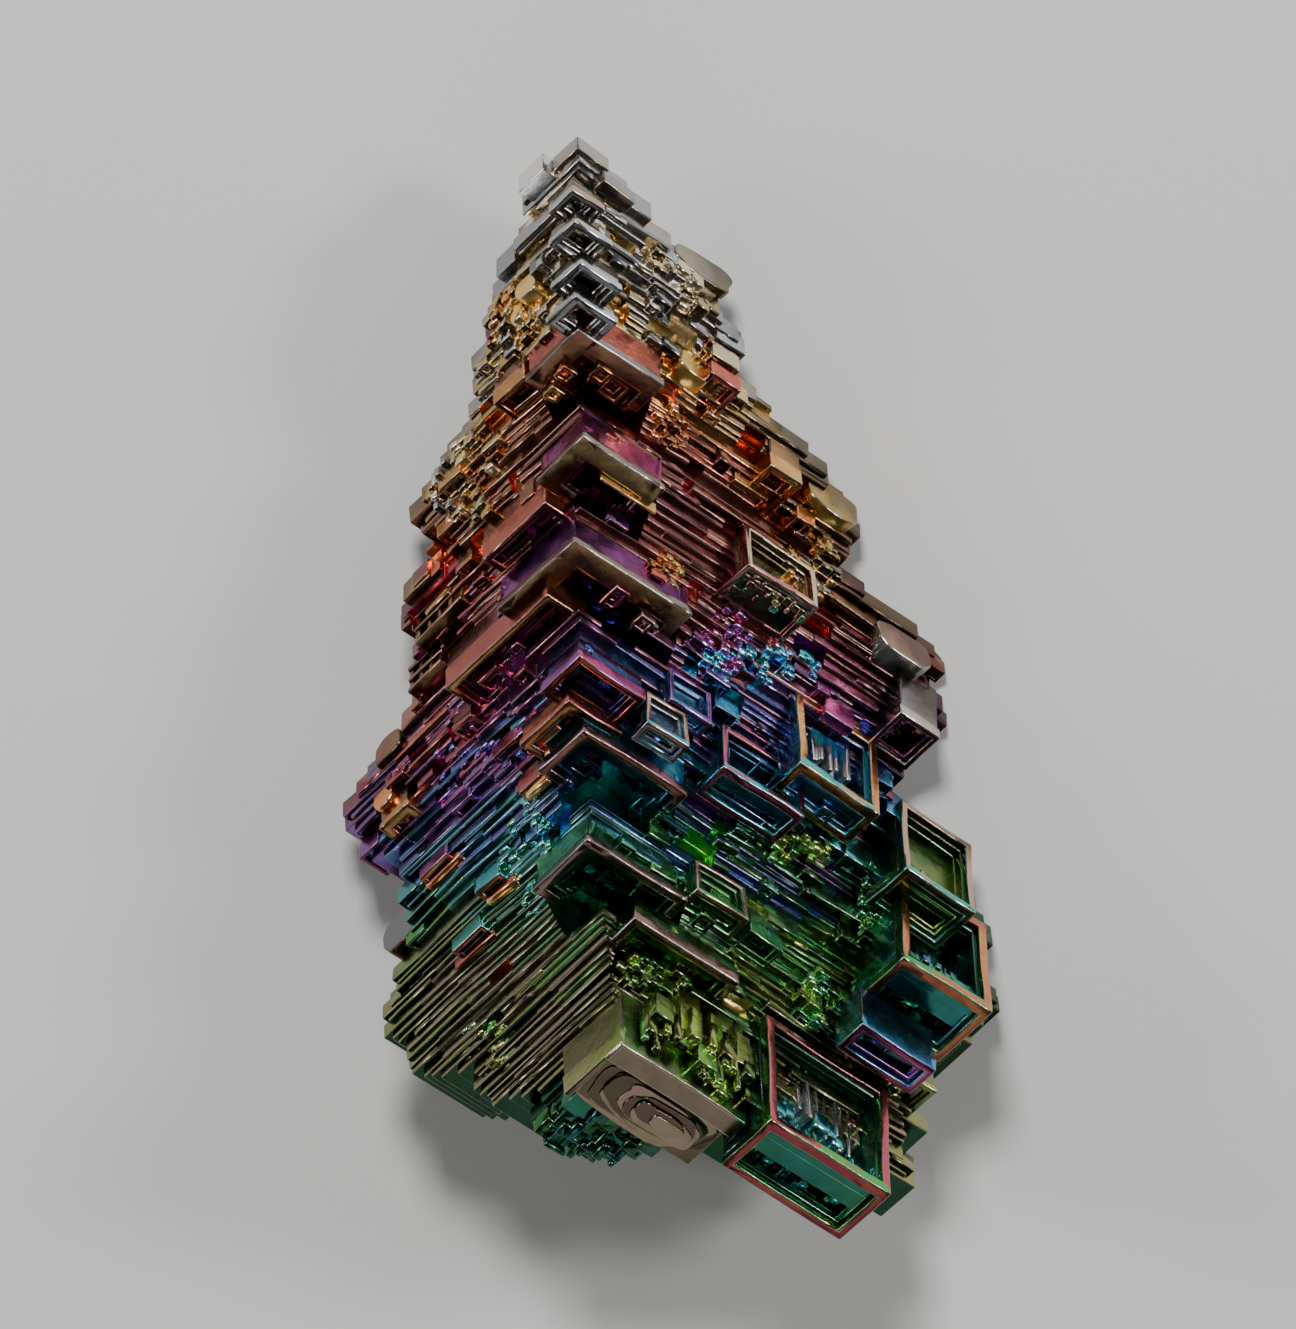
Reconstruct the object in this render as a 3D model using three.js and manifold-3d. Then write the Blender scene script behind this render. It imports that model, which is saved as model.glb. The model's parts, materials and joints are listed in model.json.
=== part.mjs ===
// A bismuth hopper crystal, grown as one piece and cut off flat where it grew.
//
// Frame: millimetres, +Z up. The flat cut lies in Z = 0 and the tip of the cluster
// points along +Y. The origin is on the cut, in line with the middle of the cluster.
//
// Every hopper has the same cubic lattice. The corner of each cube points up, so its
// three edges leave the corner to the right, to the left and towards the tip, all
// of them falling away. Lattice axis x faces right, y faces left and z faces away from
// the tip. The solid is joined in lattice millimetres, where every box is upright,
// and turned into the frame at the end.

import * as THREE from "three";
import { mergeVertices } from "three/addons/utils/BufferGeometryUtils.js";
import Module from "manifold-3d";

const wasm = await Module();
wasm.setup();

// ---- the lattice ---------------------------------------------------------------

// Headings of the three cube edges seen from above, in degrees from +X towards +Y.
const edgeHeadings = { right: -33, left: 223, up: 92 };

function latticeAxes({ right, left, up }) {
  const angle = THREE.MathUtils.degToRad;
  const rightLeft = Math.cos(angle(right - left));
  const rightUp = Math.cos(angle(right - up));
  const leftUp = Math.cos(angle(left - up));
  // Three square edges: each one's fall follows from the angles between the headings.
  const outward = (heading, fall) =>
    new THREE.Vector3(-Math.cos(angle(heading)), -Math.sin(angle(heading)), fall).normalize();
  return {
    x: outward(left, Math.sqrt((-rightLeft * leftUp) / rightUp)),
    y: outward(right, Math.sqrt((-rightLeft * rightUp) / leftUp)),
    z: outward(up, Math.sqrt((-rightUp * leftUp) / rightLeft)),
  };
}

const axes = latticeAxes(edgeHeadings);
const latticeToFrame = new THREE.Matrix4().makeBasis(axes.x, axes.y, axes.z);
const frameToLattice = latticeToFrame.clone().invert();
const rightArm = axes.y.clone().negate();

// ---- the cluster's overall shape ----------------------------------------------

const tip = { x: -3.9, y: 26, height: 7 };
const ridgeRise = 0.23; // the ridge climbs this much per millimetre away from the tip
const ridgeEnd = -17.5;
const ridgeBend = { y: -1, slope: 0.12 }; // beyond the bend the ridge leans right

function ridgePoint(y) {
  const x = tip.x + Math.max(0, ridgeBend.y - y) * ridgeBend.slope;
  return new THREE.Vector3(x, y, tip.height + (tip.y - y) * ridgeRise);
}

// Height of the stepped roof that falls from the ridge along the cube arms.
function roofHeight(x, y) {
  const aside = x - ridgePoint(y).x;
  const arm = aside > 0 ? rightArm : axes.x.clone().negate();
  const along = aside / arm.x;
  return ridgePoint(y - arm.y * along).z + arm.z * along;
}

// How far each level reaches to the right and to the left, by its place on the ridge.
const reachRight = [
  [26, 2], [23.5, 7.3], [22, 9.2], [19.7, 10.6], [18.7, 14], [17, 17.5], [14, 17],
  [13, 22.5], [10, 22.5], [6.7, 20], [4.3, 20.4], [2, 25.6], [-3.4, 26], [-6.7, 22],
  [-8.6, 20], [-14.2, 18.3], [-15.4, 16.9], [-16.8, 12], [-18, 10],
];
const reachLeft = [
  [26, 4.2], [23.5, 5.3], [21.6, 7.2], [20.2, 8], [18.7, 7.2], [17.3, 10], [16.3, 12],
  [14, 11.7], [11.5, 13.3], [10, 13.2], [7.7, 12.1], [6.2, 13.6], [4.3, 17.2], [2.4, 17],
  [0.5, 14.1], [-3.4, 12.7], [-4.8, 14.5], [-7.7, 15], [-10, 13.6], [-12.5, 10.8],
  [-15, 7.6], [-18, 4.5],
];
// Near the wide end each level is only an L: the widths of its two arms.
const widthOfRightArm = [[5, 18], [2, 17.5], [-3.4, 11], [-8.6, 7.5], [-14.2, 2.5], [-18, 2]];
const widthOfLeftArm = [[0, 26], [-4, 14], [-7.7, 9.5], [-10, 4.5], [-12.5, 3], [-18, 3]];

function valueAt(y, points) {
  const next = points.findIndex(([place]) => place <= y);
  if (next === 0) return points[0][1];
  if (next < 0) return points[points.length - 1][1];
  const [[y0, v0], [y1, v1]] = [points[next - 1], points[next]];
  return THREE.MathUtils.mapLinear(y, y0, y1, v0, v1);
}

// ---- boxes in lattice millimetres ----------------------------------------------

const grid = 0.02; // box faces fall on this grid, so that they meet cleanly or not at all

function toGrid(value) {
  return Math.round(value / grid) * grid;
}

function latticeBox(low, high) {
  const corners = [low, high].map((point) => point.clone().set(...point.toArray().map(toGrid)));
  const size = corners[1].clone().sub(corners[0]);
  const middle = corners[0].clone().addScaledVector(size, 0.5);
  const box = new THREE.BoxGeometry(size.x, size.y, size.z);
  return box.translate(middle.x, middle.y, middle.z);
}

function toSolid(geometry) {
  const bare = geometry.clone();
  bare.deleteAttribute("normal");
  bare.deleteAttribute("uv");
  const merged = mergeVertices(bare, 1e-4);
  return new wasm.Manifold(new wasm.Mesh({
    numProp: 3,
    vertProperties: new Float32Array(merged.attributes.position.array),
    triVerts: new Uint32Array(merged.index.array),
  }));
}

function toGeometry(solid) {
  const mesh = solid.getMesh();
  const geometry = new THREE.BufferGeometry();
  geometry.setAttribute("position", new THREE.BufferAttribute(mesh.vertProperties, 3));
  geometry.setIndex(new THREE.BufferAttribute(mesh.triVerts, 1));
  return geometry;
}

// Joins neighbours first, then the results, so that each join stays small.
function join(solids) {
  if (solids.length === 1) return solids[0];
  const half = Math.ceil(solids.length / 2);
  return join(solids.slice(0, half)).add(join(solids.slice(half)));
}

// ---- the stepped body -----------------------------------------------------------

const levelPitch = 1.45; // along the ridge
const levelOverlap = 0.6; // each level runs this far into the one before it

function bodyLevels() {
  const boxes = [];
  const pitch = ridgePoint(0).clone().sub(ridgePoint(levelPitch)).applyMatrix4(frameToLattice).z;
  for (let y = tip.y; y > ridgeEnd; y -= levelPitch) {
    const corner = ridgePoint(y).applyMatrix4(frameToLattice);
    const right = valueAt(y, reachRight);
    const left = valueAt(y, reachLeft);
    const depth = pitch + levelOverlap;
    const leftWidth = Math.min(right, valueAt(y, widthOfLeftArm));
    const rightWidth = Math.min(left, valueAt(y, widthOfRightArm));
    boxes.push(latticeBox(corner.clone().sub({ x: left, y: leftWidth, z: depth }), corner));
    boxes.push(latticeBox(corner.clone().sub({ x: rightWidth, y: right, z: depth }), corner));
  }
  return boxes;
}

// ---- the hoppers ----------------------------------------------------------------

// A hopper is a cube whose edges grew faster than its faces. x and y place its top
// corner over the roof, proud is that corner's height over the roof, and right, left
// and up are its edges. bowl is the depth of the stepped hollow in the face away from
// the tip, window the depth of the one in the face to the right, rim the edge width.
const ridgeHoppers = [
  { x: -4.2, y: 24.0, proud: 3, right: 1.6, left: 1.6, up: 3, rim: 0.3, bowl: 0.5 },
  { x: -4.1, y: 22.5, proud: 3, right: 1.8, left: 1.7, up: 3, rim: 0.3, bowl: 0.6 },
  { x: -3.8, y: 20.5, proud: 3, right: 1.8, left: 2.0, up: 3, rim: 0.3, bowl: 0.6 },
  { x: -4.0, y: 18.9, proud: 3, right: 1.8, left: 2.0, up: 3, rim: 0.3, bowl: 0.6 },
  { x: -3.9, y: 17.3, proud: 3.2, right: 5.5, left: 4.1, up: 3.5, rim: 0.5, bowl: 2.0 },
  { x: -3.7, y: 12.2, proud: 3.2, right: 5.3, left: 3.6, up: 3.5, rim: 0.5, bowl: 2.0 },
  { x: -4.1, y: 7.2, proud: 3.4, right: 7.4, left: 5.8, up: 4, rim: 0.6, bowl: 2.2 },
  { x: -3.9, y: 1.7, proud: 3, right: 4.3, left: 3.0, up: 3, rim: 0.4, bowl: 1.3 },
  { x: -4.4, y: -0.4, proud: 3.2, right: 3.4, left: 3.8, up: 3, rim: 0.4, bowl: 1.3 },
  { x: -3.7, y: -1.8, proud: 3.2, right: 6.6, left: 3.5, up: 3.5, rim: 0.4, bowl: 2.0 },
  { x: -3.4, y: -7.0, proud: 3, right: 6.3, left: 4.2, up: 3.5, rim: 0.4, bowl: 2.0 },
  { x: -1.2, y: -10.8, proud: 3.2, right: 6.5, left: 5.0, up: 4, rim: 0.4, bowl: 1.2 },
  { x: -1.8, y: -16.7, proud: 2.8, right: 7.8, left: 4.4, up: 4.2, rim: 0.9, bowl: 0.6 },
];
const rightHoppers = [
  { x: 2.5, y: 15.4, proud: 2, right: 2.0, left: 2.0, up: 2.5, rim: 0.3, bowl: 0.9 },
  { x: 5.4, y: 10.9, proud: 2, right: 2.1, left: 2.9, up: 2.5, rim: 0.3, bowl: 1.0 },
  { x: 4.2, y: 6.1, proud: 3.2, right: 3.9, left: 2.2, up: 3.2, rim: 0.4, bowl: 1.2, window: 0.9 },
  { x: 0.5, y: -0.4, proud: 1.6, right: 2.6, left: 1.2, up: 2.5, rim: 0.3, bowl: 0.5, window: 0.5 },
  { x: -0.6, y: -1.5, proud: 3, right: 2.6, left: 1.4, up: 2.5, rim: 0.3, bowl: 0.5, window: 0.5 },
  { x: 3.0, y: -3.6, proud: 2.6, right: 5.2, left: 2.2, up: 3.3, rim: 0.4, bowl: 0.6, window: 1.1 },
  { x: 6.7, y: -3.5, proud: 3.4, right: 5.2, left: 2.4, up: 5.7, rim: 0.5, bowl: 0.8, window: 1.4 },
  { x: 11.7, y: -1.1, proud: 3, right: 2.6, left: 2.6, up: 3.8, rim: 0.3, bowl: 0.6, window: 0.4 },
  { x: 1.8, y: -9.5, proud: 2, right: 3.2, left: 1.6, up: 2.5, rim: 0.3, bowl: 0.5, window: 0.7 },
  { x: 11.8, y: -8.5, proud: 4.2, right: 4.6, left: 3.0, up: 5.2, rim: 0.4, bowl: 0.8, window: 1.0 },
  { x: 11.7, y: -12.8, proud: 5, right: 5.6, left: 4.0, up: 6.8, rim: 0.6, bowl: 1.2, window: 1.8 },
  { x: 9.7, y: -15.9, proud: 4, right: 4.7, left: 2.0, up: 3, rim: 0.4, bowl: 0.8 },
  { x: 5.3, y: -20.3, proud: 5, right: 7.6, left: 3.8, up: 7.7, rim: 0.6, bowl: 1.4, window: 1.8 },
];
const leftHoppers = [
  { x: -6.6, y: 15.1, proud: 1.8, right: 2.0, left: 2.4, up: 3, rim: 0.3, bowl: 1.0 },
  { x: -5.5, y: 9.1, proud: 1.8, right: 2.5, left: 4.8, up: 3, rim: 0.4, bowl: 1.4 },
  { x: -5.4, y: 4.5, proud: 1.8, right: 2.6, left: 7.6, up: 3, rim: 0.4, bowl: 1.4 },
  { x: -5.8, y: -4.1, proud: 1, right: 1.4, left: 1.6, up: 2, rim: 0.3, bowl: 0.8 },
  { x: -12.2, y: -5.5, proud: 2, right: 2.0, left: 2.2, up: 3, rim: 0.5, bowl: 0.4 },
  { x: -10.2, y: -7.9, proud: 1.2, right: 2.2, left: 2.2, up: 2, rim: 0.3, bowl: 0.8 },
  { x: -7.7, y: -8.7, proud: 1.2, right: 2.2, left: 1.8, up: 2, rim: 0.3, bowl: 0.8 },
  { x: -8.6, y: -11.3, proud: 1.2, right: 2.8, left: 2.2, up: 2, rim: 0.3, bowl: 0.8 },
];

const ledgeDepth = 0.7; // one ledge in a hollow for about this much depth
const footing = 0.1; // the bars run this far into the core under the hollow's floor

// The four bars round a square hollow, one ring for each ledge down to its floor.
function ledges(low, high, face, depth, rim) {
  const boxes = [];
  const count = Math.max(1, Math.round(depth / ledgeDepth));
  for (let ledge = 0; ledge < count; ledge += 1) {
    const top = high[face] - (depth * ledge) / count;
    for (const side of ["x", "y", "z"].filter((axis) => axis !== face)) {
      const width = Math.min(rim * (1 + ledge), 0.45 * (high[side] - low[side]));
      const floor = high[face] - depth - footing;
      const near = { low: low.clone(), high: high.clone() };
      near.low[side] = high[side] - width;
      const far = { low: low.clone(), high: high.clone() };
      far.high[side] = low[side] + width;
      for (const bar of [near, far]) {
        bar.low[face] = floor;
        bar.high[face] = top;
        boxes.push(latticeBox(bar.low, bar.high));
      }
    }
  }
  return boxes;
}

function hopper({ x, y, proud, right, left, up, rim, bowl = 0, window = 0 }) {
  const corner = new THREE.Vector3(x, y, roofHeight(x, y) + proud).applyMatrix4(frameToLattice);
  const low = corner.clone().sub({ x: left, y: right, z: up });
  const core = latticeBox(low, corner.clone().sub({ x: window, y: 0, z: bowl }));
  const boxes = [core];
  if (bowl) boxes.push(...ledges(low, corner, "z", bowl, rim));
  if (window) boxes.push(...ledges(low, corner, "x", window, rim));
  return boxes;
}

// ---- one solid, cut off flat ----------------------------------------------------

function belowTheCut() {
  const reach = 120;
  const block = new THREE.BoxGeometry(reach, reach, reach);
  return block.translate(0, 0, -reach / 2).applyMatrix4(frameToLattice);
}

function crystalGeometry() {
  const hoppers = [...ridgeHoppers, ...rightHoppers, ...leftHoppers];
  const boxes = [...bodyLevels(), ...hoppers.flatMap(hopper)];
  const cluster = join(boxes.map(toSolid)).subtract(toSolid(belowTheCut()));
  return toGeometry(cluster).applyMatrix4(latticeToFrame);
}

function oxideMetal() {
  return new THREE.MeshStandardMaterial({ color: 0x9b8f86, metalness: 1, roughness: 0.3 });
}

const crystal = new THREE.Mesh(crystalGeometry(), oxideMetal());
crystal.name = "bismuth_crystal";

const cluster = new THREE.Group();
cluster.add(crystal);

export default cluster;
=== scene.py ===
"""Looks of the bismuth hopper crystal.

It is grown from boxes, in millimetres along the axes of one cubic lattice: x faces right,
y faces left and z faces away from the tip. Every crystal face is square to one of them.
"""

import json
import math
import random

import bmesh
import bpy
import numpy as np
from mathutils import Matrix, Vector, noise

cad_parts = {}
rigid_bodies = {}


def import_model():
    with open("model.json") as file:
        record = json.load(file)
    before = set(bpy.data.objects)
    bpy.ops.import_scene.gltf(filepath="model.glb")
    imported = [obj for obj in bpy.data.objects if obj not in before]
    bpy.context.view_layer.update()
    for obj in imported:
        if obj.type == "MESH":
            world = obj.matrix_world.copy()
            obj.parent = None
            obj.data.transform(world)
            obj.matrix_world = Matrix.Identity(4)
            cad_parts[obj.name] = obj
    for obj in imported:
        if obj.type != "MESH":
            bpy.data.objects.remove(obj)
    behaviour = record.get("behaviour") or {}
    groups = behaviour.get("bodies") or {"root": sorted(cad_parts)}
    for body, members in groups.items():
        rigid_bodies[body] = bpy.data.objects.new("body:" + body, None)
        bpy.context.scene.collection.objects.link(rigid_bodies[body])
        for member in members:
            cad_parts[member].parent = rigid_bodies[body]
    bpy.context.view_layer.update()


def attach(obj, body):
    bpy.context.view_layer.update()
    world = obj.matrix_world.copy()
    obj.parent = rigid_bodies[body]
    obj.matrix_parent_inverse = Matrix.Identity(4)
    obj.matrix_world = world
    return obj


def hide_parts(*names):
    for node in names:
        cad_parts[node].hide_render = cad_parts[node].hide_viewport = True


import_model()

MM = 0.001
chance = random.Random(7)

# ---- the lattice ----

EDGE_HEADINGS = {"right": -33, "left": 223, "up": 92}


def outward_axis(heading, fall):
    """The face normal opposite a cube edge that leaves along heading and drops by fall."""
    turn = math.radians(heading)
    return Vector((-math.cos(turn), -math.sin(turn), fall)).normalized()


def lattice_matrix():
    """Three square edges: each one's fall follows from the angles between the headings."""
    turn = {name: math.radians(value) for name, value in EDGE_HEADINGS.items()}
    right_left = math.cos(turn["right"] - turn["left"])
    right_up = math.cos(turn["right"] - turn["up"])
    left_up = math.cos(turn["left"] - turn["up"])
    x_axis = outward_axis(EDGE_HEADINGS["left"], math.sqrt(-right_left * left_up / right_up))
    y_axis = outward_axis(EDGE_HEADINGS["right"], math.sqrt(-right_left * right_up / left_up))
    z_axis = outward_axis(EDGE_HEADINGS["up"], math.sqrt(-right_up * left_up / right_left))
    return np.array([x_axis, y_axis, z_axis])


LATTICE = lattice_matrix()
RIGHT_ARM = -LATTICE[1]
LEFT_ARM = -LATTICE[0]


def to_lattice(point):
    return LATTICE @ np.asarray(point, float)


def to_frame(point):
    return np.asarray(point, float) @ LATTICE


# ---- the cluster's overall shape ----

TIP = (-3.9, 26.0, 7.0)
RIDGE_RISE = 0.23
RIDGE_END = -17.5
RIDGE_BEND = (-1.0, 0.12)


def ridge_point(y):
    lean = max(0.0, RIDGE_BEND[0] - y) * RIDGE_BEND[1]
    return np.array([TIP[0] + lean, y, TIP[2] + (TIP[1] - y) * RIDGE_RISE])


def roof_height(x, y):
    """Height of the stepped roof that falls from the ridge along the cube arms."""
    aside = x - ridge_point(y)[0]
    arm = RIGHT_ARM if aside > 0 else LEFT_ARM
    along = aside / arm[0]
    return ridge_point(y - arm[1] * along)[2] + arm[2] * along


# How far each level reaches to each side, by its place on the ridge.
REACH_RIGHT = [
    (26, 2), (23.5, 7.3), (22, 9.2), (19.7, 10.6), (18.7, 14), (17, 17.5), (14, 17),
    (13, 22.5), (10, 22.5), (6.7, 20), (4.3, 20.4), (2, 25.6), (-3.4, 26), (-6.7, 22),
    (-8.6, 20), (-14.2, 18.3), (-15.4, 16.9), (-16.8, 12), (-18, 10),
]
REACH_LEFT = [
    (26, 4.2), (23.5, 5.3), (21.6, 7.2), (20.2, 8), (18.7, 7.2), (17.3, 10), (16.3, 12),
    (14, 11.7), (11.5, 13.3), (10, 13.2), (7.7, 12.1), (6.2, 13.6), (4.3, 17.2), (2.4, 17),
    (0.5, 14.1), (-3.4, 12.7), (-4.8, 14.5), (-7.7, 15), (-10, 13.6), (-12.5, 10.8),
    (-15, 7.6), (-18, 4.5),
]
WIDTH_OF_RIGHT_ARM = [(5, 18), (2, 17.5), (-3.4, 11), (-8.6, 7.5), (-14.2, 2.5), (-18, 2)]
WIDTH_OF_LEFT_ARM = [(0, 26), (-4, 14), (-7.7, 9.5), (-10, 4.5), (-12.5, 3), (-18, 3)]

# Oxide thickness on each slope by place along the ridge, in steps of the film ramp.
FILM_RIGHT = [
    (26, 0.03), (21, 0.06), (17, 0.1), (14.5, 0.24), (12.5, 0.3), (9, 0.37), (6, 0.41),
    (3, 0.46), (1.5, 0.58), (-2, 0.67), (-5, 0.71), (-8, 0.77), (-12, 0.81), (-17, 0.87),
    (-22, 0.92),
]
FILM_LEFT = [
    (26, 0.04), (21, 0.06), (17, 0.12), (14.5, 0.24), (12, 0.28), (9, 0.3), (6, 0.34),
    (3, 0.38), (0, 0.42), (-3, 0.47), (-5, 0.58), (-7, 0.66), (-9.5, 0.74), (-11, 0.83),
    (-13, 0.88), (-17, 0.9), (-22, 0.91),
]
# How much thinner the oxide is for each millimetre away from the ridge.
THINNING_RIGHT = [
    (16, 0.02), (12, 0.016), (9, 0.018), (4, 0.02), (0, 0.016), (-4, 0.01), (-10, 0.0),
]
THINNING_LEFT = [
    (12, 0.028), (8, 0.024), (2, 0.018), (-2, 0.022), (-5, 0.026), (-8, 0.018), (-11, 0.004),
    (-13, 0.0),
]


def value_at(place, points):
    """Straight-line value between listed points, whose places run downwards."""
    places = [point[0] for point in reversed(points)]
    values = [point[1] for point in reversed(points)]
    return float(np.interp(place, places, values))


def roof_film(x, y):
    """The oxide is thinner towards both sides of the cluster."""
    aside = x - ridge_point(y)[0]
    film = value_at(y, FILM_RIGHT if aside > 0 else FILM_LEFT)
    thinning = value_at(y, THINNING_RIGHT if aside > 0 else THINNING_LEFT)
    return max(0.01, film - abs(aside) * thinning)


def roof_place(y, side, share):
    """x and y of a place on the slope, share of the way out along the level at y."""
    arm, reach = (RIGHT_ARM, REACH_RIGHT) if side > 0 else (LEFT_ARM, REACH_LEFT)
    place = ridge_point(y) + arm * value_at(y, reach) * share
    return place[0], place[1]


def is_on_roof(x, y):
    aside = x - ridge_point(y)[0]
    arm, reach = (RIGHT_ARM, REACH_RIGHT) if aside > 0 else (LEFT_ARM, REACH_LEFT)
    along = aside / arm[0]
    level = y - arm[1] * along
    return RIDGE_END < level < TIP[1] and along < value_at(level, reach) - 0.2


# ---- boxes with eased edges ----

body = []  # the stepped body
hollows = []  # what is cut out of the body
details = []  # hoppers and crust, which stand in the hollows

# Finishes: how much the colour is greyed, how bright it is on faces square to each axis
# (painted light and shade by facing) and how much paler its edges are (a painted highlight).
SLOPE = (0.3, (1.0, 0.65, 0.35), 0.08)
TAIL = (0.3, (1.0, 0.65, 0.07), 0.04)
# END: the end levels are dark, partly the crust's own colour and partly painted shade that darkens
# their z faces most.
END = (0.2, (0.3, 0.3, 0.06), 0.0)
CONTOUR = (0.4, (0.5, 0.4, 0.26), 0.0)
DARK_CONTOUR = (0.4, (0.3, 0.25, 0.1), 0.0)
WALL = (0.3, (0.8, 0.4, 0.12), 0.12)
RIM = (0.45, (0.7, 0.25, 0.2), 0.25)
CRUSTED = (0.1, (0.5, 0.4, 0.16), 0.1)
NECK = (0.35, (0.45, 0.35, 0.2), 0.1)
VIVID_RIM = (0.1, (1.3, 0.7, 0.2), 0.18)
LEDGE = (0.1, (0.9, 0.7, 0.16), 0.15)
# DEEP paints light into the floors of hollows: brighter than fully lit faces.
DEEP = (0.0, (1.1, 1.1, 1.4), 0.1)
# GLINT is a painted glint: brighter than lit faces would be, with paler edges.
GLINT = (0.0, (1.3, 1.2, 1.0), 0.3)

LEAST_SIDE = 0.1


def grow(where, low, high, radius, film, finish, form=False):
    """Keeps a box for later.

    film is one value, or one for each axis its faces are square to. form is False for cut
    edges, True for round edges or the way that a wavy plate lies.
    """
    low = np.asarray(low, float)
    high = np.asarray(high, float)
    if (high - low).min() < LEAST_SIDE:
        return
    films = (film, film, film) if isinstance(film, (int, float)) else film
    radius = min(radius, 0.3 * float((high - low).min()))
    where.append((low, high, radius, films, finish, form))


STEP_ALONG_SIDES = 1.4


def grid_lines(low, high, radius):
    """Cuts along one side of a box: its ends, its eased corners and even steps between."""
    count = max(1, round((high - low - 2 * radius) / STEP_ALONG_SIDES))
    return [low, *np.linspace(low + radius, high - radius, count + 1), high]


def rounded_box(low, high, radius):
    """A box whose edges are rounded, with its long sides cut into steps so it can bend."""
    lines = [grid_lines(low[axis], high[axis], radius) for axis in range(3)]
    inner_low = low + radius
    inner_high = high - radius
    index = {}
    points = []
    faces = []
    edge_faces = []
    face_axes = []

    def vertex(point):
        key = tuple(np.round(point, 6))
        if key not in index:
            centre = np.clip(point, inner_low, inner_high)
            away = point - centre
            length = np.linalg.norm(away)
            index[key] = len(points)
            points.append(centre + away * (radius / length) if length else point)
        return index[key]

    for axis in range(3):
        u, v = (axis + 1) % 3, (axis + 2) % 3
        for side, place in enumerate((low[axis], high[axis])):
            for i in range(len(lines[u]) - 1):
                for j in range(len(lines[v]) - 1):
                    corners = []
                    for di, dj in ((0, 0), (1, 0), (1, 1), (0, 1)):
                        point = np.empty(3)
                        point[axis] = place
                        point[u] = lines[u][i + di]
                        point[v] = lines[v][j + dj]
                        corners.append(vertex(point))
                    faces.append(corners if side else corners[::-1])
                    last_i, last_j = len(lines[u]) - 2, len(lines[v]) - 2
                    edge_faces.append(i in (0, last_i) or j in (0, last_j))
                    face_axes.append(axis)
    return points, faces, edge_faces, face_axes


def chamfered_box(low, high, radius):
    """A box whose edges and corners are cut off, for small and thin growth."""
    signs = [(a, b, c) for a in (0, 1) for b in (0, 1) for c in (0, 1)]
    points = []
    index = {}
    for sign in signs:
        for axis in range(3):
            point = np.where(sign, high, low) + np.where(sign, -radius, radius)
            point[axis] = high[axis] if sign[axis] else low[axis]
            index[sign, axis] = len(points)
            points.append(point)
    faces = []
    for axis in range(3):
        u, v = (axis + 1) % 3, (axis + 2) % 3
        for side in (0, 1):
            loop = []
            for a, b in ((0, 0), (1, 0), (1, 1), (0, 1)):
                sign = [0, 0, 0]
                sign[axis], sign[u], sign[v] = side, a, b
                loop.append(index[tuple(sign), axis])
            faces.append(loop)
        for a in (0, 1):
            for b in (0, 1):
                ends = []
                for c in (0, 1):
                    sign = [0, 0, 0]
                    sign[axis], sign[u], sign[v] = c, a, b
                    ends.append(tuple(sign))
                first, last = ends
                faces.append([index[first, u], index[last, u], index[last, v], index[first, v]])
    edge_faces = [number % 6 >= 2 for number in range(18)] + [True] * len(signs)
    face_axes = [number // 6 for number in range(18)] + [2] * len(signs)
    for sign in signs:
        faces.append([index[sign, 0], index[sign, 1], index[sign, 2]])
    middle = (low + high) / 2
    for number, face in enumerate(faces):
        corners = np.array([points[i] for i in face[:3]])
        normal = np.cross(corners[1] - corners[0], corners[2] - corners[0])
        if np.dot(normal, corners.mean(axis=0) - middle) < 0:
            faces[number] = face[::-1]
    return points, faces, edge_faces, face_axes


FLAT, LEANING_RIGHT, LEANING_LEFT = "flat", "leaning right", "leaning left"  # wavy plates
THIN_AXIS = {FLAT: 2, LEANING_RIGHT: 0, LEANING_LEFT: 1}
OUTLINE_POINTS = 30


def wandering_outline():
    phases = [chance.uniform(0, 2 * math.pi) for _ in range(3)]
    outline = []
    for number in range(OUTLINE_POINTS):
        turn = 2 * math.pi * number / OUTLINE_POINTS
        wander = 0.06 * math.sin(2 * turn + phases[0]) + 0.05 * math.sin(3 * turn + phases[1])
        wander += 0.03 * math.sin(6 * turn + phases[2])
        across = math.copysign(abs(math.cos(turn)) ** 0.6, math.cos(turn))
        along = math.copysign(abs(math.sin(turn)) ** 0.6, math.sin(turn))
        outline.append(np.array([across, along]) * (0.88 + wander))
    return outline


def wavy_plate(low, high, radius, thin):
    """A plate that fills its box but for a wandering outline, with an eased upper edge."""
    u, v = (thin + 1) % 3, (thin + 2) % 3
    middle = (low + high) / 2
    half = (high - low) / 2
    points = []
    outline = wandering_outline()
    for height, inset in ((low[thin], 0), (high[thin] - radius, 0), (high[thin], radius)):
        for across, along in outline:
            point = np.empty(3)
            point[thin] = height
            point[u] = middle[u] + across * (half[u] - inset)
            point[v] = middle[v] + along * (half[v] - inset)
            points.append(point)
    count = OUTLINE_POINTS
    faces = [list(range(count))[::-1], [2 * count + number for number in range(count)]]
    for ring in (0, count):
        for number in range(count):
            here, following = ring + number, ring + (number + 1) % count
            faces.append([here, following, following + count, here + count])
    edge_faces = [False] * (2 + count) + [True] * count
    face_axes = [thin, thin] + [u] * (2 * count)
    return points, faces, edge_faces, face_axes


def set_on_faces(mesh, name, values):
    mesh.attributes.new(name, "FLOAT", "FACE").data.foreach_set("value", values)


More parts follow.
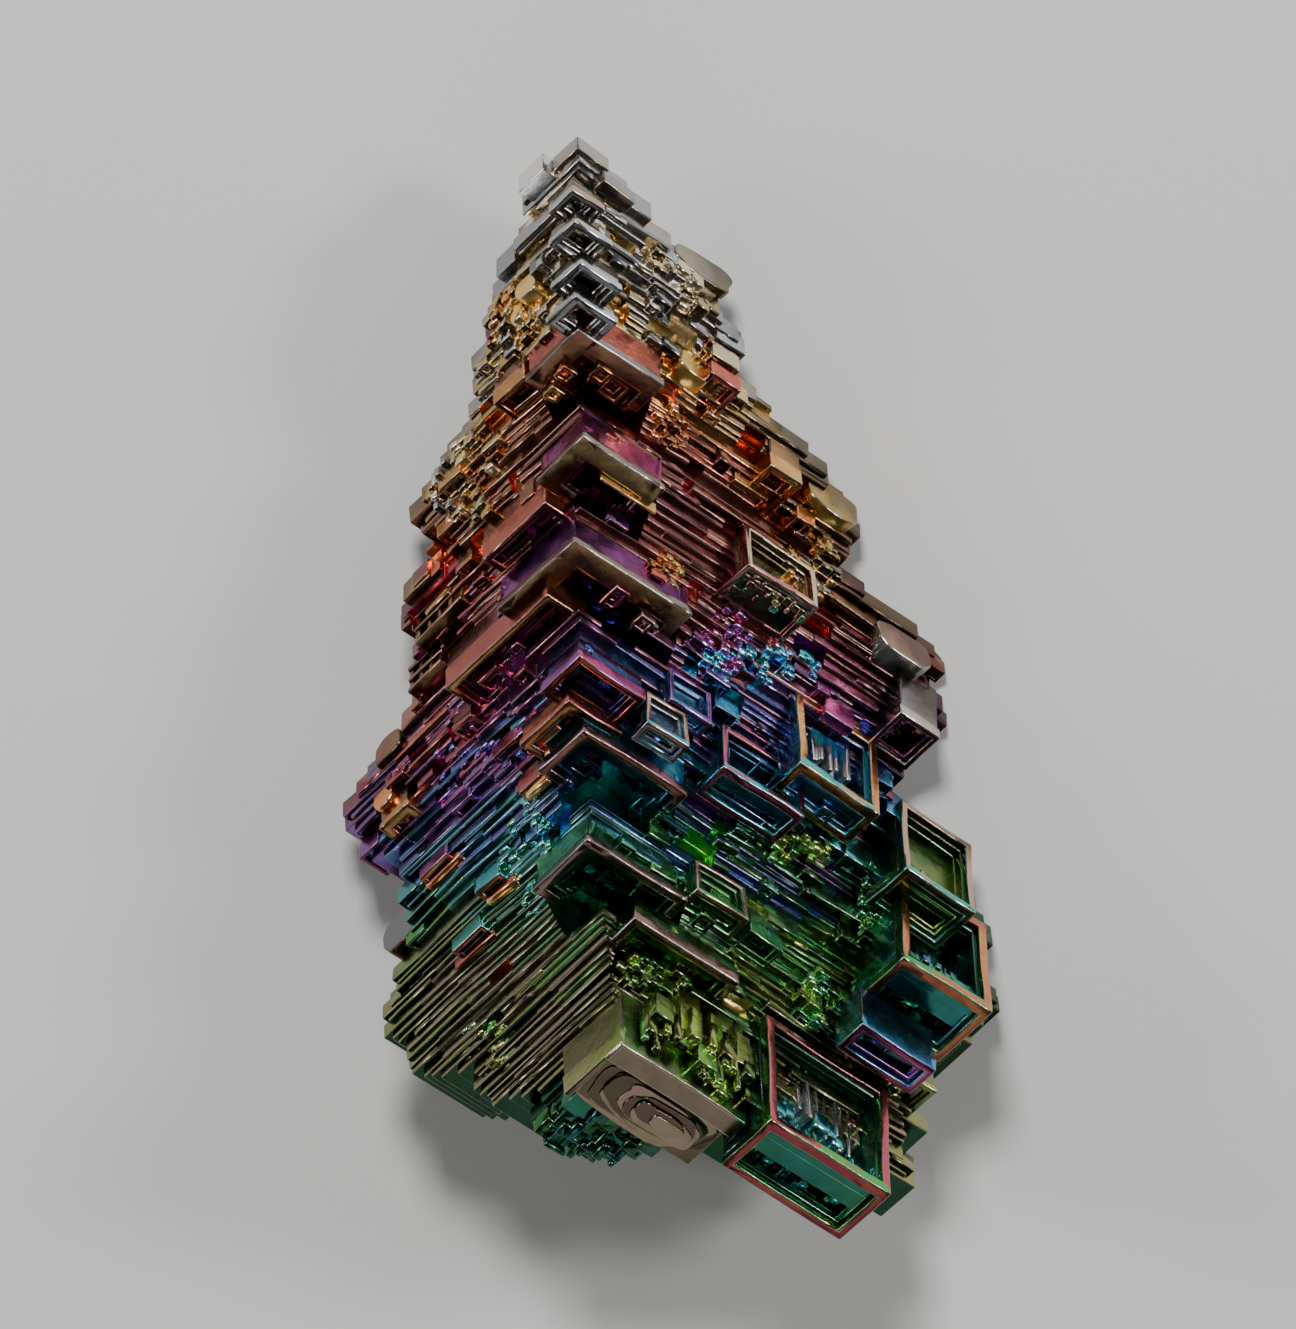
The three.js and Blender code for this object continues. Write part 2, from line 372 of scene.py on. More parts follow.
def box_object(number, box, holder):
    low, high, radius, films, (grey, bright, edge), form = box
    if form in THIN_AXIS:
        points, faces, edge_faces, face_axes = wavy_plate(low, high, radius, THIN_AXIS[form])
    elif form:
        points, faces, edge_faces, face_axes = rounded_box(low, high, radius)
    else:
        points, faces, edge_faces, face_axes = chamfered_box(low, high, radius)
    mesh = bpy.data.meshes.new(f"growth_{number}")
    mesh.from_pydata((np.array(points) @ LATTICE * MM).tolist(), [], faces)
    set_on_faces(mesh, "film", [films[axis] for axis in face_axes])
    # painted highlight: eased edge faces are made paler
    set_on_faces(mesh, "edge", [edge * is_edge for is_edge in edge_faces])
    set_on_faces(mesh, "grey", [grey] * len(faces))
    # painted light and shade: brightness set by the axis each face is square to
    set_on_faces(mesh, "bright", [bright[axis] for axis in face_axes])
    holder.objects.link(bpy.data.objects.new(mesh.name, mesh))


# ---- the stepped body ----

LEVEL_PITCHES = (0.36, 0.44, 0.5, 0.62, 0.8)  # along the ridge
FINE_PITCHES = (0.3, 0.36, 0.42, 0.55)
LEVEL_OVERLAP = 0.7


def slope_finish(x, y):
    """The slopes are greyer towards the tip and at the far left end, and there their painted light on
    x and y faces is dimmer.
    """
    grey = value_at(y, [(16, 0.25), (13, 0.5), (5, 0.5), (1, 0.3), (-8, 0.25)])
    if x < ridge_point(y)[0]:
        grey += value_at(y, [(-8, 0), (-11, 0.4)])
    return (grey, (1.0 - 0.3 * grey, 0.7 - 0.2 * grey, 0.35), 0.08)


def grow_arm(corner, size, depth, long_axis):
    """One arm of one level, in a few lengths that stand a little in or out."""
    low = corner - np.array([size[0], size[1], depth])
    reach = size[long_axis]
    step_out = 1 - long_axis
    wobble = 0.3 if long_axis == 0 and to_frame(corner)[1] < -4 else 1.0
    start = 0.0
    while start < reach:
        end = min(reach, start + chance.uniform(1.5, 7.0))
        if reach - end < 1.0:
            end = reach
        piece_low = low.copy()
        piece_high = corner.copy()
        piece_high[long_axis] -= start - (0.1 if start else 0.0)
        piece_low[long_axis] = corner[long_axis] - end
        piece_high[step_out] += wobble * chance.uniform(-0.12, 0.12)
        piece_high[2] += wobble * chance.uniform(-0.07, 0.07)
        seen = piece_high.copy()
        seen[long_axis] = (piece_low[long_axis] + piece_high[long_axis]) / 2
        x, y, _ = to_frame(seen)
        film = roof_film(x, y) + chance.uniform(-0.03, 0.03)
        at_end = to_frame(corner)[1] < RIDGE_END + 1.2
        at_tail = end == reach and to_frame(corner)[1] < 0
        films = (film, film, 0.76 if at_tail else film + 0.03)
        finish = TAIL if at_tail else slope_finish(x, y)
        if at_end:
            films, finish = (0.74, 0.76, 0.76), END
        grow(body, piece_low, piece_high, 0.05, films, finish)
        start = end


def grow_body():
    y = TIP[1]
    while y > RIDGE_END:
        pitch = chance.choice(LEVEL_PITCHES if y > -5 else FINE_PITCHES)
        corner = to_lattice(ridge_point(y))
        depth = to_lattice(ridge_point(0) - ridge_point(pitch))[2] + LEVEL_OVERLAP
        right = value_at(y, REACH_RIGHT) + chance.uniform(-0.7, 0.7) + 0.7 * math.sin(2.1 * y)
        left = value_at(y, REACH_LEFT) + chance.uniform(-0.6, 0.6) + 0.6 * math.sin(1.7 * y)
        left_width = min(right, value_at(y, WIDTH_OF_LEFT_ARM))
        right_width = min(left, value_at(y, WIDTH_OF_RIGHT_ARM))
        grow_arm(corner, (left, left_width), depth, 0)
        grow_arm(corner, (right_width, right), depth, 1)
        y -= pitch


# ---- hoppers ----

# The top corner's x, y and height over the roof; the right, left and up edges; the films
# of the x and y walls, rim, ledges and floor. Then, as far as they are needed: the rim's
# width; the depth of the hollow in the face away from the tip; that of the one in the face
# to the right; the length of the hooks at the two ends of an open rim; how thick the rim
# stands before the neck behind it narrows; and the finish.
HOPPERS = [
    # along the ridge, from the tip
    ((-4.2, 24.0, 3), (2.0, 1.8, 3), (0.99, 0.02, 0.0, 0.0, 0.0), 0.3, 0.7, 0, 0, 0.5, GLINT),
    ((-4.1, 22.5, 3), (2.4, 2.0, 3), (0.0, 0.02, 0.0, 0.0, 0.0), 0.35, 0.8, 0, 0, 0.5, GLINT),
    ((-3.8, 20.5, 3), (2.6, 2.2, 3), (0.0, 0.02, 0.0, 0.0, 0.0), 0.4, 0.9, 0, 0, 0.5, GLINT),
    ((-4.0, 18.9, 3), (2.6, 2.2, 3), (0.0, 0.02, 0.0, 0.0, 0.0), 0.4, 0.9, 0, 0, 0.5, GLINT),
    ((-3.9, 17.3, 1.9), (5.5, 4.1, 3.5), (0.02, 0.24, 0.2, 0.27, 0.29), 1.1, 2.8, 0, 1.0, 0.55),
    ((-3.7, 12.2, 1.9), (5.3, 3.6, 6.2), (0.04, 0.26, 0.13, 0.36, 0.42), 1.1, 2.8, 0, 1.0, 0.55),
    ((-4.1, 7.2, 2.0), (7.4, 5.8, 6.2), (0.06, 0.3, 0.16, 0.42, 0.48), 1.3, 3.0, 0, 1.2, 0.55),
    ((-3.9, 1.7, 2.2), (4.3, 3.0, 5.5), (0.36, 0.42, 0.28, 0.5, 0.55), 0.4, 1.4, 0, 0, 0.8),
    ((-4.4, -0.4, 2.3), (3.4, 3.8, 3), (0.3, 0.25, 0.2, 0.17, 0.3), 0.5, 1.3, 0, 0, 0.6),
    ((-3.7, -1.8, 1.9), (6.6, 3.5, 3.5), (0.33, 0.4, 0.25, 0.62, 0.68), 0.5, 2.6, 0, 0.9, 0.6),
    ((-3.4, -7.0, 1.8), (6.3, 4.2, 5.5), (0.99, 0.72, 0.99, 0.76, 0.72), 0.5, 2.6, 0, 0.9, 0.6),
    ((-1.2, -10.8, 2.0), (6.5, 5.0, 5), (0.99, 0.76, 0.98, 0.8, 0.8), 0.45, 1.4, 0, 1.0, 0.8),
    # on the right slope
    ((2.5, 15.4, 1.5), (2.0, 2.0, 2.5), (0.25, 0.25, 0.27, 0.29, 0.3), 0.3, 0.9),
    ((5.4, 10.9, 1.5), (2.1, 2.9, 2.5), (0.17, 0.17, 0.13, 0.22, 0.31), 0.4, 1.0),
    ((4.2, 6.1, 2.6), (4.6, 3.4, 3.2), (0.31, 0.33, 0.06, 0.93, 0.92), 0.35, 0.12, 0.9),
    ((0.5, -0.4, 1.6), (2.6, 1.2, 2.5), (0.6, 0.6, 0.45, 0.6, 0.66), 0.3, 0.5, 0.5),
    ((-0.6, -1.5, 3), (2.6, 1.4, 2.5), (0.64, 0.64, 0.99, 0.0, 0.6), 0.3, 0.5, 0.5),
    ((3.0, -3.6, 2.6), (5.2, 2.2, 3.3), (0.66, 0.66, 0.35, 0.62, 0.66), 0.4, 0.6, 1.1),
    ((6.7, -3.5, 3.4), (5.2, 2.4, 5.7), (0.68, 0.68, 0.17, 0.6, 0.63), 0.5, 0.8, 1.6),
    ((11.7, -1.1, 2.5), (2.6, 2.6, 3.8), (0.03, 0.03, 0.38, 0.4, 0.43), 0.3, 0.6),
    ((1.8, -9.5, 1.6), (3.2, 1.6, 2.5), (0.78, 0.78, 0.99, 0.78, 0.8), 0.3, 0.5, 0.7),
    ((11.8, -8.5, 4.0), (4.6, 3.0, 5.2), (0.72, 0.72, 0.97, 0.85, 0.83), 0.4, 0.8, 1.0),
    ((11.7, -12.8, 5), (5.6, 4.0, 6.8), (0.78, 0.78, 0.21, 0.7, 0.73), 0.5, 1.6, 2.0),
    ((9.7, -15.9, 4), (4.7, 2.0, 3), (0.6, 0.6, 0.37, 0.45, 0.7), 0.4, 0.8),
    ((5.3, -20.3, 5), (7.6, 3.8, 7.7), (0.8, 0.8, 0.3, 0.74, 0.7), 0.5, 1.4, 2.0),
    # on the left slope
    ((-6.6, 15.1, 1.5), (2.0, 2.4, 3), (0.2, 0.2, 0.25, 0.28, 0.3), 0.3, 1.0),
    ((-5.5, 9.1, 1.5), (2.5, 4.8, 3), (0.25, 0.25, 0.26, 0.35, 0.42), 0.4, 1.4),
    ((-5.4, 4.5, 1.8), (2.6, 7.6, 3), (0.2, 0.28, 0.14, 0.25, 0.38), 0.4, 1.4),
    ((-5.8, -4.1, 1), (1.4, 1.6, 2), (0.3, 0.3, 0.17, 0.2, 0.6), 0.3, 0.8),
    ((-12.2, -5.5, 1.6), (2.0, 2.2, 3), (0.17, 0.17, 0.15, 0.16, 0.2), 0.5, 0.4),
    ((-10.2, -7.9, 1.2), (2.2, 2.2, 2), (0.4, 0.4, 0.17, 0.22, 0.45), 0.3, 0.8),
    ((-7.7, -8.7, 1.2), (2.2, 1.8, 2), (0.66, 0.66, 0.2, 0.3, 0.7), 0.3, 0.8),
    ((-8.6, -11.3, 1.2), (2.8, 2.2, 2), (0.72, 0.72, 0.27, 0.28, 0.72), 0.3, 0.8),
]

LEDGE_DEPTH = 0.4
LEDGE_WIDTH = 0.2
MOST_LEDGES = 5
FOOTING = 0.15
HAIR = 0.06  # keeps faces of neighbouring growth from lying in one plane
NECK_INSET = 0.25
NECK_STEP = 0.32


def grow_ring(low, high, face, top, bottom, width, inset, hook, film, finish):
    """Four bars round a hollow. A hook cuts the two far bars short, so the hollow opens."""
    sides = [axis for axis in range(3) if axis != face]
    for side, other in (sides, sides[::-1]):
        thick = min(width, 0.42 * (high[side] - low[side]))
        near_low, near_high = low.copy(), high.copy()
        near_low[side] = high[side] - thick
        far_low, far_high = low.copy(), high.copy()
        far_high[side] = low[side] + min(thick, 0.7)
        if hook:
            far_low[other] = high[other] - width - hook
        for bar_low, bar_high in ((near_low, near_high), (far_low, far_high)):
            for axis in sides:
                bar_high[axis] = min(bar_high[axis], high[axis] - inset)
                bar_low[axis] = max(bar_low[axis], low[axis] + min(inset, HAIR))
            bar_low[face] = bottom
            bar_high[face] = top
            if (bar_high - bar_low).min() > 0.08:
                is_rim = finish in (RIM, VIVID_RIM)
                radius = 0.1 if is_rim else 0.05
                grow(details, bar_low, bar_high, radius, film, finish, is_rim)


def grow_hollow_face(low, high, face, depth, plate, rim, hook, films, neighbour):
    """The rim of a hollow, the wall under it and its ledges.

    neighbour is the depth of the hollow round the corner: the ledges then step away from
    the shared edge as they go down, so that both hollows stay open.
    """
    wall_x, wall_y, rim_film, ledge_film, floor_film = films
    floor = high[face] - depth - FOOTING
    shade = chance.uniform(-0.015, 0.015)
    plate_bottom = max(high[face] - (rim + 0.1 if neighbour else plate), floor)
    rim_films = (wall_x, wall_y, rim_film + shade)
    if face == 0:
        rim_films = (rim_film + shade, wall_y, rim_film + shade)
    finish = RIM if hook else VIVID_RIM
    grow_ring(low, high, face, high[face], plate_bottom, rim, 0.0, hook, rim_films, finish)
    count = min(MOST_LEDGES, max(1, round(depth / LEDGE_DEPTH)))
    ledge_width = LEDGE_WIDTH * (2.2 if hook else 1)
    for ledge in range(1, count + 1):
        share = ledge / (count + 1)
        top = high[face] - depth * share
        width = rim + ledge_width * ledge * chance.uniform(0.6, 1.4)
        film = ledge_film + (floor_film - ledge_film) * (ledge - 1) / count
        inset = HAIR * (1.5 + ledge % 2) if plate_bottom == floor or neighbour else NECK_INSET
        near = high.copy()
        near[2 - face] -= neighbour * share
        grow_ring(low, near, face, top, floor, width, inset, hook, film, LEDGE)


def grow_rubble(corner, right, left, rim, bowl, film):
    """Small crystals that settled in a hollow, close to its walls."""
    for _ in range(int(2.6 * (right + left))):
        along = chance.random()
        inward = rim + abs(chance.gauss(0, 0.5))
        if chance.random() < right / (right + left):
            place = corner - np.array([inward, rim + along * (right - rim), bowl])
        else:
            place = corner - np.array([rim + along * (left - rim), inward, bowl])
        size = np.array([chance.uniform(0.15, 0.55) for _ in range(3)])
        tint = film + chance.gauss(0, 0.03)
        if chance.random() < 0.15:
            tint = film - chance.uniform(0.08, 0.2)
        finish = GLINT if chance.random() < 0.3 else LEDGE
        grow(details, place - size / 2 - (0, 0, 0.2), place + size / 2, 0.05, max(tint, 0.03), finish)


LITTER_SIDES = ((0.25, 0.8), (0.25, 0.9), (0.3, 1.1))


def grow_litter(corner, right, left, rim, window, bowl, film):
    """Larger crystals over the whole floor of a hollow."""
    for _ in range(int(0.6 * right * left)):
        inward = window + rim + chance.random() * max(0.1, left - window - 2 * rim)
        place = corner - np.array([inward, rim + chance.random() * (right - 2 * rim), bowl])
        size = np.array([chance.uniform(*span) for span in LITTER_SIDES])
        tint = max(0.02, film + chance.gauss(0, 0.04))
        finish = chance.choice((LEDGE, DEEP, GLINT))
        grow(details, place - size / 2 - (0, 0, 0.3), place + size / 2, 0.06, tint, finish)


def top_corner(place):
    """The top corner of a block that stands proud of the roof over x and y."""
    x, y, proud = place
    return to_lattice((x, y, roof_height(x, y) + proud))


def grow_block(place, size, films, finish=WALL, form=False):
    """A plain block with that top corner and those right, left and up edges."""
    right, left, up = size
    corner = top_corner(place)
    low = corner - np.array([left, right, up])
    grow(details, low + HAIR, corner - (HAIR, HAIR, 0), 0.08, films, finish, form)


def grow_neck(low, corner, bowl, film, floor):
    """The stem of a hopper, under its bowl, a little narrower at each step down."""
    step = 0
    while bowl + NECK_STEP * step < corner[2] - low[2]:
        inset = NECK_INSET * (1 + 0.7 * step) * chance.uniform(0.8, 1.2)
        top = corner - np.array([inset, inset, bowl + NECK_STEP * step])
        bottom = low.copy()
        bottom[2] = max(low[2], top[2] - NECK_STEP - 0.2)
        tint = film + chance.uniform(-0.06, 0.06)
        grow(details, bottom, top, 0.05, (tint, tint, floor), NECK)
        step += 1


def grow_hopper(place, size, films, rim=0.3, bowl=0.0, window=0.0, hook=0.0, plate=9.0,
                finish=WALL):
    """A cube with a core or a neck, a hollow in one or two of its faces and crystals in it."""
    right, left, up = size
    corner = top_corner(place)
    low = corner - np.array([left, right, up])
    wall_x, wall_y, _, _, floor = films
    if plate > up:
        core_films = (floor if window else wall_x, wall_y, floor)
        core_high = corner - (window or HAIR, HAIR, bowl)
        grow(details, low + HAIR, core_high, 0.08, core_films, finish)
    else:
        grow_neck(low, corner, bowl, roof_film(*place[:2]), floor)
    if bowl:
        grow_hollow_face(low, corner, 2, bowl, plate, rim, hook, films, window)
        grow_rubble(corner, right, left, rim, bowl, floor)
        if bowl > 1.1:
            grow_litter(corner, right, left, rim, window, bowl, floor)
        if hook:
            cut_low = corner - np.array([left + 0.4, right + 0.4, bowl])
            grow(hollows, cut_low, corner - (rim, rim, -1.2), 0.05, floor, DEEP)
    if window:
        grow_hollow_face(low, corner, 0, window, window + FOOTING, rim, 0.0, films, bowl)


def grow_ribs(place, right, up, start, end, depth, film):
    """Upright ribs that stand in the window of the hopper at that place."""
    corner = top_corner(place)
    share = start
    while share < end:
        width = chance.uniform(0.14, 0.26)
        high = corner - np.array([depth - chance.uniform(0.5, 0.9), share * right, up * 0.35])
        low = corner - np.array([depth + 0.1, share * right + width, up - 0.3])
        high[2] -= chance.uniform(0, 0.25) * up
        grow(details, low, high, 0.05, (film, film, film + 0.02), GLINT, True)
        share += chance.uniform(0.05, 0.085)


def grow_ladder(place, left, up, rungs, film):
    """Rails and rungs over a dark pit in the left slope."""
    corner = top_corner(place)
    low = corner - np.array([left, 0.9, up])
    grow(hollows, low - (0, 0.8, 0), corner + (0, 0.6, 0), 0.05, film + 0.2, DEEP)
    for share in (0, 0.46, 0.92):
        top = corner[2] - share * up
        rail_low = (low[0], low[1] - 0.6, top - 0.3)
        grow(details, rail_low, (corner[0], corner[1], top), 0.08, film, WALL, True)
    for rung in range(rungs + 1):
        start = low[0] + (left - 0.3) * rung / rungs
        high = (start + 0.3, corner[1] - 0.1, corner[2] - 0.1)
        grow(details, (start, low[1] - 0.6, low[2]), high, 0.08, film + 0.05, WALL, True)


def uneven_sides(choices):
    return np.array([chance.choice(choices) * chance.uniform(0.7, 1.3) for _ in range(3)])


def grow_end_crust(count):
    """Dark green crystals over the last level's face, down to the cut."""
    corner = to_lattice(ridge_point(RIDGE_END))
    for _ in range(count):
        place = corner - np.array([chance.uniform(0, 6.0), chance.uniform(0, 4.5), 0.1])
        size = uneven_sides((0.35, 0.6, 1.0))
        film = chance.uniform(0.68, 0.8)
        grow(details, place - size / 2 - (0, 0, 0.4), place + size / 2, 0.05, film, CRUSTED)


def grow_blobs(place, right, up, depth, film):
    """A few fat beads of growth on the floor of a window, high up in it."""
    corner = top_corner(place)
    for share in (0.14, 0.24, 0.5, 0.6, 0.68):
        size = chance.uniform(0.7, 1.1)
        high = corner - np.array([depth - size * 0.8, share * right, up * chance.uniform(0.3, 0.45)])
        low = high - np.array([size + 0.2, size, size * chance.uniform(0.9, 1.5)])
        grow(details, low, high, 0.2, (film, film, film - 0.02), GLINT, True)


def grow_contours(place, right, left, band, films):
    """The last ridge hopper: a band along its right arm and, beside it, a face of
    wandering layers one on another."""
    corner = top_corner(place)
    wall = (0.84, 0.9, 0.94)
    block_low = corner - np.array([left, right, 4.2])
    grow(details, block_low, corner - (HAIR, HAIR, 0.9), 0.08, wall, WALL)
    grow(details, corner - np.array([band, right, 1.4]), corner, 0.12, wall, RIM, True)
    edge_low = corner - np.array([left, 0.3, 1.4])
    grow(details, edge_low, corner - (0, -HAIR, 0.1), 0.1, wall, VIVID_RIM, True)
    for layer in range(9):
        share = 1.05 - 0.1 * layer
        half = np.array([0.5 * (left - band) + 0.2, 0.5 * right]) * share
        middle = np.array([band + 0.5 * (left - band), 0.5 * right])
        middle += (chance.uniform(-0.15, 0.15), chance.uniform(-0.25, 0.25) + 0.12 * layer)
        top = corner[2] - 0.9 + 0.09 * layer
        low = np.array([*(corner[:2] - middle - half), top - 0.8])
        high = np.array([*(corner[:2] - middle + half), top])
        finish = DARK_CONTOUR if layer % 2 else CONTOUR
        grow(details, low, high, 0.05, chance.choice(films), finish, FLAT)


def grow_prisms(x, y, right, wide, count, film):
    """Chunky prisms crowded along a line that runs with the right arms."""
    for _ in range(count):
        along = chance.uniform(0, right)
        aside = chance.uniform(0, wide)
        px = x + RIGHT_ARM[0] * along + 0.45 * aside
        py = y + RIGHT_ARM[1] * along + 0.9 * aside
        size = chance.choice((0.5, 0.7, 1.1))
        tint = film + chance.uniform(-0.04, 0.04)
        place = (px, py, chance.uniform(1.2, 3.2))
        sides = (size * chance.uniform(0.7, 1.4), size, chance.uniform(1, 2.5))
        grow_block(place, sides, tint, chance.choice((GLINT, LEDGE, WALL)))


# Blocks and plates that stand out by their colour: the top corner's x, y and height over
# the roof; the right, left and up edges; the films of x, y and z faces; finish and form.
ACCENTS = [
    # the tip
    ((-4.9, 26.6, 1.6), (1.2, 1.0, 3.0), (0.0, 0.02, 0.0), GLINT),
    ((-5.6, 25.2, 1.0), (1.2, 2.0, 1.4), (0.0, 0.02, 0.0), GLINT),
    ((-2.7, 24.6, 1.0), (2.2, 0.9, 1.0), (0.02, 0.04, 0.02)),
    # gold lumps over a dark red block on the left, near the tip
    ((-5.9, 19.6, 1.2), (1.0, 1.8, 1.6), (0.12, 0.13, 0.1), GLINT, LEANING_LEFT),
    ((-6.6, 18.2, 1.0), (1.2, 1.2, 1.6), (0.13, 0.15, 0.1), GLINT, LEANING_LEFT),
    ((-7.4, 18.0, 0.5), (1.8, 1.8, 1.6), (0.3, 0.31, 0.3)),
    # pale plates and flanges down the right side
    ((-1.4, 20.6, 0.5), (4.2, 0.5, 1.6), (0.07, 0.08, 0.05), WALL, LEANING_RIGHT),
    ((-0.4, 20.9, 0.35), (4.6, 0.6, 1.8), (0.07, 0.07, 0.05), WALL, LEANING_RIGHT),
    ((0.6, 21.0, 0.25), (4.4, 0.7, 2.0), (0.06, 0.07, 0.05), WALL, LEANING_RIGHT),
    ((1.2, 19.4, 0.3), (2.4, 0.6, 2.2), (0.05, 0.06, 0.03)),
    ((0.9, 15.8, 1.1), (2.2, 1.3, 1.8), (0.12, 0.13, 0.1), GLINT, LEANING_RIGHT),
    ((7.2, 9.4, 0.9), (3.6, 1.8, 2.4), (0.1, 0.12, 0.1), GLINT, LEANING_RIGHT),
    ((10.6, 2.4, 1.5), (3.8, 2.0, 2.4), (0.99, 0.02, 0.0), GLINT, LEANING_RIGHT),
    ((8.0, -0.9, 1.2), (2.0, 0.8, 1.4), (0.37, 0.38, 0.39), GLINT),
    # gold inside the second big rim
    ((-2.8, 10.3, 0.9), (3.6, 0.3, 0.8), (0.12, 0.15, 0.12), GLINT),
    # orange brackets left of the ridge
    ((-5.0, -1.6, 1.4), (0.5, 2.4, 0.7), (0.18, 0.2, 0.2), GLINT),
    ((-5.4, -2.9, 1.2), (1.7, 0.5, 0.7), (0.17, 0.19, 0.2), GLINT),
    ((-5.5, -4.2, 1.2), (0.5, 1.7, 0.7), (0.16, 0.19, 0.2), GLINT),
    # the amber knob and the lobe over it
    ((-12.9, -5.0, 1.3), (1.7, 1.9, 2.4), (0.16, 0.18, 0.2), GLINT, LEANING_LEFT),
    ((-11.6, -11.2, 0.7), (1.4, 3.0, 2.4), (0.99, 0.0, 0.2), WALL, LEANING_LEFT),
    ((-12.6, -2.6, 0.9), (1.2, 2.2, 2.0), (0.99, 0.2, 0.2), WALL, LEANING_LEFT),
    # orange and red eaves lower down
    ((-9.6, -7.9, 0.9), (0.6, 2.8, 0.6), (0.2, 0.24, 0.2), GLINT),
    ((-7.0, -8.9, 0.9), (0.6, 2.2, 0.6), (0.2, 0.26, 0.2), GLINT),
    ((-8.0, -11.6, 0.8), (0.5, 3.0, 0.6), (0.27, 0.3, 0.2), LEDGE),
    # pale yellow-green prisms above the last ridge hopper
    ((1.0, -15.9, 2.4), (1.4, 0.8, 3.0), (0.88, 0.9, 0.88), GLINT),
    ((2.4, -16.8, 2.2), (1.0, 0.9, 2.6), (0.86, 0.88, 0.88), GLINT),
    ((3.6, -17.4, 2.6), (0.7, 0.6, 2.6), (0.87, 0.88, 0.88), GLINT),
]

# Small rings of growth inside the hollows, made bright by painted glint: x, y, height over the roof
# and film.
BEADS = [
    (-5.2, 14.6, 1.4, 0.12), (-1.4, 13.9, 1.6, 0.13), (-4.6, 15.6, 1.4, 0.2),
    (-2.9, 15.6, 1.2, 0.18), (-0.9, 3.6, 1.4, 0.99), (-3.4, -9.6, 1.4, 0.66),
    (7.9, -5.6, 2.0, 0.6), (9.4, -20.4, 3.0, 0.68),
]


def grow_bead(x, y, proud, film):
    width = chance.uniform(0.7, 0.95)
    size = (width, width, 0.7)
    grow_hopper((x, y, proud), size, (film,) * 5, rim=0.2, bowl=0.3, finish=GLINT)


# ---- growth blocks on the slopes ----

BLOCKS = 130
STEPS = 150
NOTCHES = 130


def lesser_films(x, y):
    film = roof_film(x, y) + chance.gauss(0, 0.035)
    films = (film, film, film - chance.uniform(0, 0.06), film, film + 0.06)
    return tuple(max(0.01, value) for value in films)


def slope_spot(length=0.5):
    """A place on either slope with that much of the level left beyond it."""
    while True:
        y = chance.uniform(-17.0, 24.5)
        side = chance.choice((1, -1))
        reach = value_at(y, REACH_RIGHT if side > 0 else REACH_LEFT)
        share = chance.uniform(0.08, 0.98 - length / reach)
        x, y = roof_place(y, side, max(0.05, share))
        calm = side < 0 and y < -9
        if not calm or chance.random() < 0.25:
            return side, (x, y)


def grow_blocks():
    """Lesser crystals stand out of both slopes, some of them small hoppers."""
    for _ in range(BLOCKS):
        _, (x, y) = slope_spot()
        bowl = chance.choice((0, 0.3, 0.5, 0.8, 1.1))
        scale = chance.choice((0.6, 1.0, 1.0, 1.5))
        right = scale * chance.uniform(0.8, 1.9)
        left = scale * chance.uniform(0.7, 1.5)
        place = (x, y, chance.uniform(0.1, 1.0))
        grow_hopper(place, (right, left, right), lesser_films(x, y),
                    rim=chance.uniform(0.12, 0.3), bowl=min(bowl, 0.6 * right))


def grow_steps():
    """Long low blocks along the levels break up their even run."""
    for _ in range(STEPS):
        length = chance.uniform(1.5, 5.0)
        side, (x, y) = slope_spot(length)
        width = chance.uniform(0.3, 0.9)
        right, left = (length, width) if side > 0 else (width, length)
        finish = chance.choice((SLOPE, SLOPE, WALL, LEDGE))
        place = (x, y, chance.uniform(0.0, 0.35))
        size = (right, left, chance.uniform(0.4, 0.9))
        grow_hopper(place, size, lesser_films(x, y), finish=finish)


def carve_notches():
    """Oblong pits between the levels."""
    for _ in range(NOTCHES):
        length = chance.uniform(0.6, 2.6)
        side, (x, y) = slope_spot(length)
        width = chance.uniform(0.4, 0.9)
        right, left = (length, width) if side > 0 else (width, length)
        corner = top_corner((x, y, 0.8))
        low = corner - np.array([left, right, chance.uniform(1.2, 2.2)])
        film = lesser_films(x, y)[4]
        grow(hollows, low, corner, 0.04, film, DEEP)


# ---- crust ----

